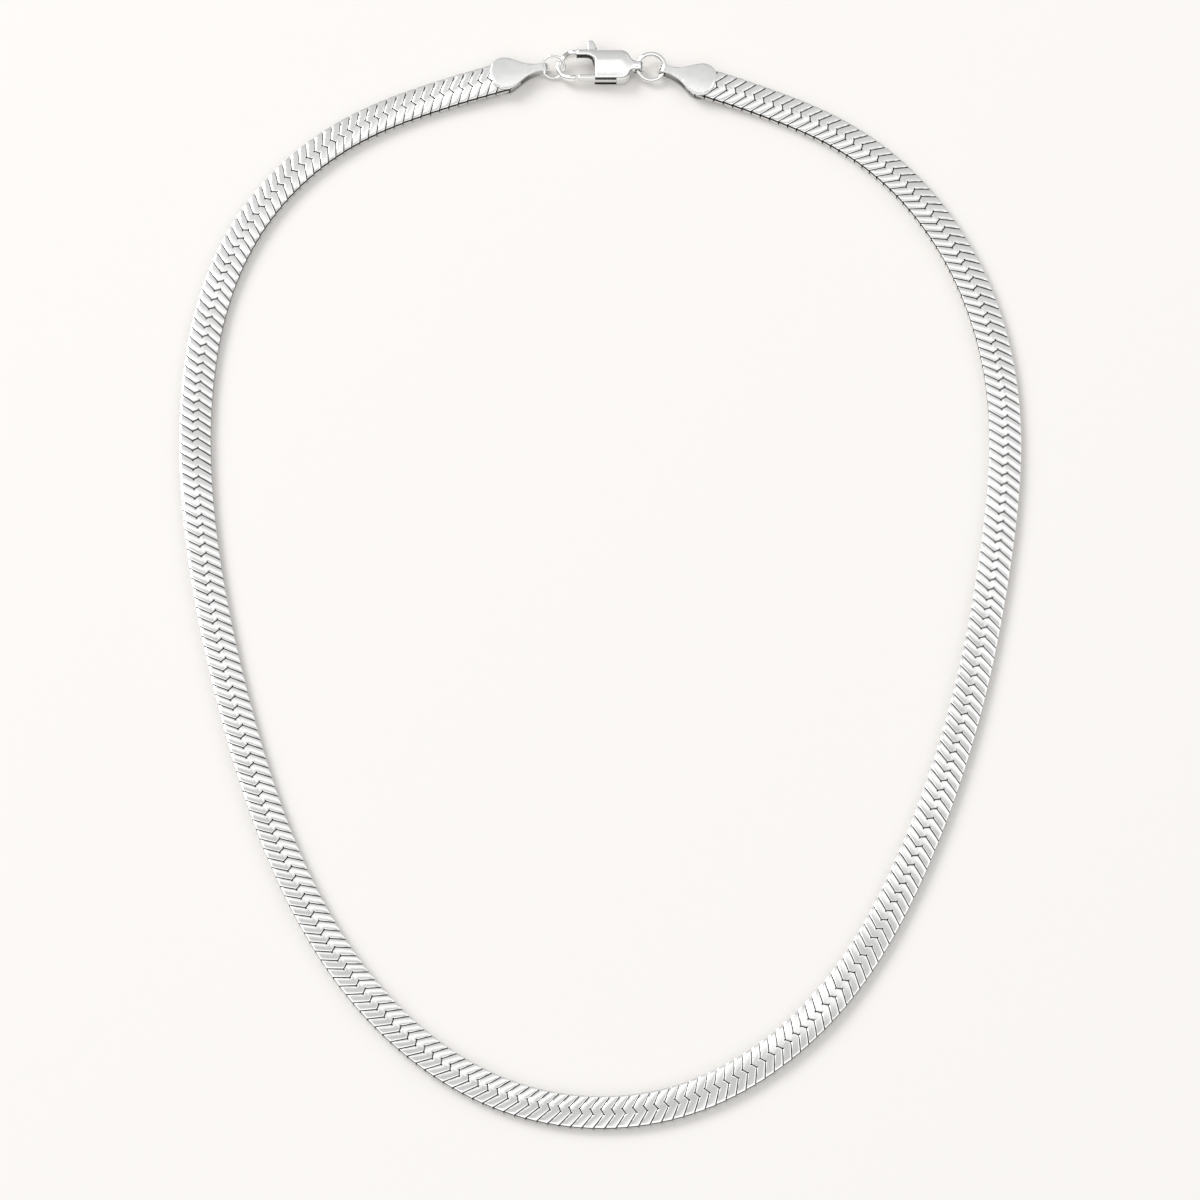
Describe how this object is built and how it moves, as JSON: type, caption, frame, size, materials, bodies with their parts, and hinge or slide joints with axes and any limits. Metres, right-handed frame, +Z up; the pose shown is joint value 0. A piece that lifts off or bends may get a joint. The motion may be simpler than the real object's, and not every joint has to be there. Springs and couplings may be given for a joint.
{
  "type": "herringbone chain necklace",
  "caption": "Flat woven herringbone chain necklace, fastened as a loop by a lobster claw clasp, two rings and folded end caps, lying flat.",
  "frame": {"origin": "middle of the underside of the whole necklace's bounding box, on the surface it lies on", "axes": "+Z up, +Y across the loop towards the clasp, +X to the right seen from above with the clasp at the far side"},
  "size_m": [0.1268, 0.1728, 0.003],
  "materials": {
    "band_silver": "polished silver with fine satin lines along each bar",
    "cap_silver": "polished silver sheet",
    "ring_silver": "polished silver wire",
    "clasp_silver": "polished cast silver",
    "pin_silver": "plain drawn wire"
  },
  "bodies": {
    "necklace": {"herringbone_chain": "band_silver", "end_cap_right": "cap_silver", "end_cap_left": "cap_silver", "clasp_ring": "ring_silver", "jump_ring": "ring_silver", "clasp_body": "clasp_silver", "clasp_pin": "pin_silver"},
    "gate": {"clasp_gate": "clasp_silver"}
  },
  "joints": [
    {"name": "gate_hinge", "type": "hinge", "parent": "necklace", "child": "gate", "pos_m": [0.00115, 0.08075, 0.0015], "axis": [0, 0, 1], "range_deg": [-25, 0], "stiffness_Nm_per_rad": 0.01}
  ]
}
